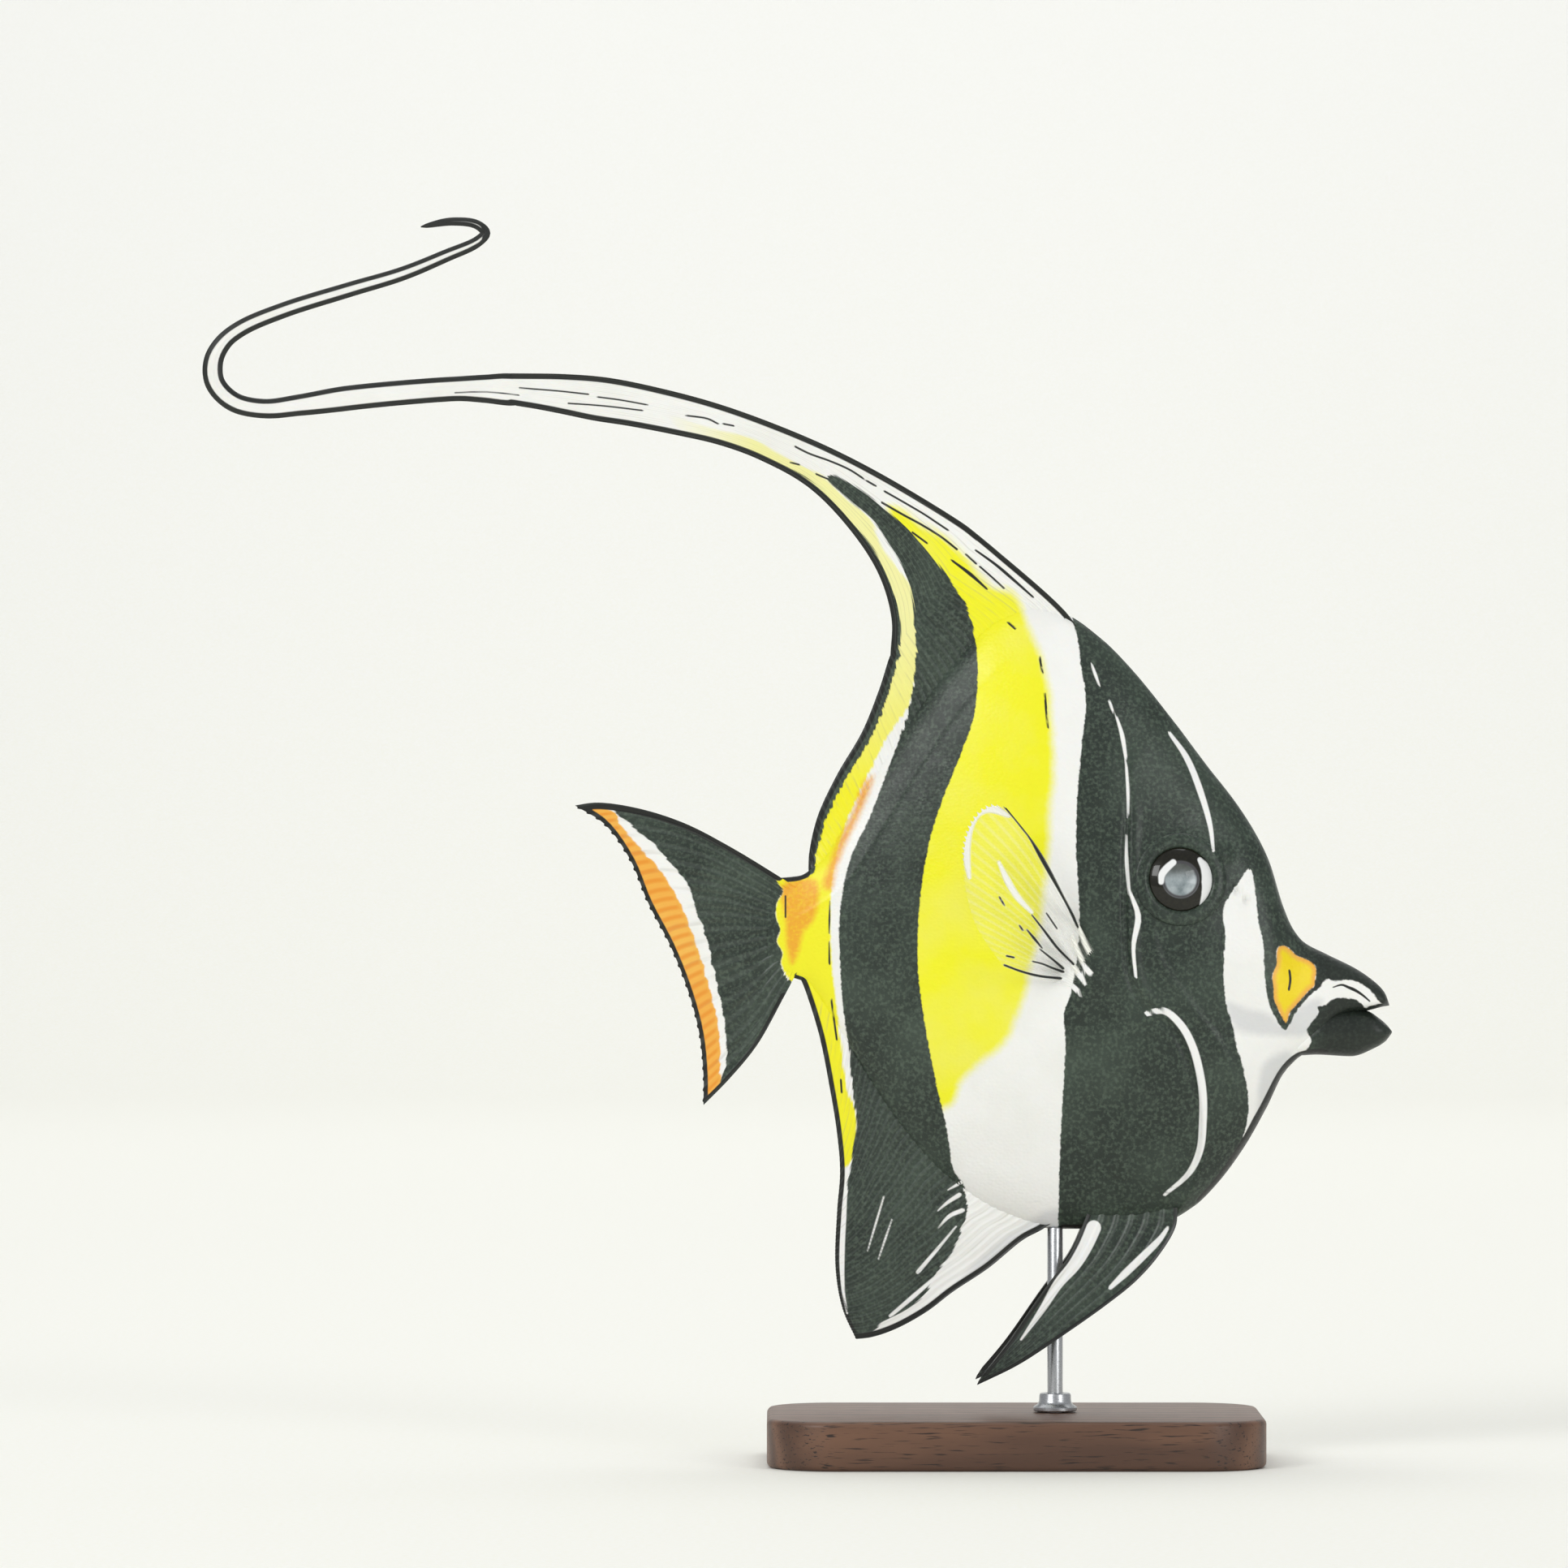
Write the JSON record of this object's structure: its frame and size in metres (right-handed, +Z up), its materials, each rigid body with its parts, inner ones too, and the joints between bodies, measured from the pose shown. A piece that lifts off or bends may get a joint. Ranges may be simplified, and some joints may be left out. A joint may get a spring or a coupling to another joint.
{
  "type": "moorish idol fish model on a display stand",
  "caption": "Life-size still model of a moorish idol, a deep, narrow reef fish with a long dorsal streamer, held on a rod above a flat wooden base.",
  "frame": {"origin": "centre of the flat underside of the display base", "axes": "+X the way the fish swims, +Z up, +Y towards the fish's left"},
  "size_m": [0.2923, 0.078, 0.3065],
  "materials": {
    "black_skin": "satin black skin under a thin clear coat",
    "white_skin": "satin white skin",
    "yellow_skin": "satin yellow skin",
    "orange_skin": "satin orange-yellow skin",
    "fin_membrane": "thin, slightly clear fin membrane with rays",
    "eye": "wet dark eye",
    "base_wood": "oiled walnut",
    "rod_steel": "satin steel"
  },
  "bodies": {
    "root": {"head": "black_skin", "snout": "white_skin", "lower_jaw": "black_skin", "eye_left": "eye", "eye_right": "eye", "torso": "yellow_skin", "tail_stalk": "orange_skin", "dorsal_fin": "black_skin", "dorsal_streamer_1": "white_skin", "dorsal_streamer_2": "white_skin", "dorsal_streamer_3": "white_skin", "dorsal_streamer_4": "white_skin", "dorsal_streamer_5": "white_skin", "dorsal_streamer_6": "white_skin", "dorsal_streamer_7": "white_skin", "anal_fin": "black_skin", "caudal_fin_upper": "black_skin", "caudal_fin_lower": "black_skin", "pectoral_fin_left": "fin_membrane", "pectoral_fin_right": "fin_membrane", "pelvic_fin_left": "black_skin", "pelvic_fin_right": "black_skin", "stand_base": "base_wood", "stand_rod": "rod_steel", "stand_collar": "rod_steel"}
  },
  "joints": []
}
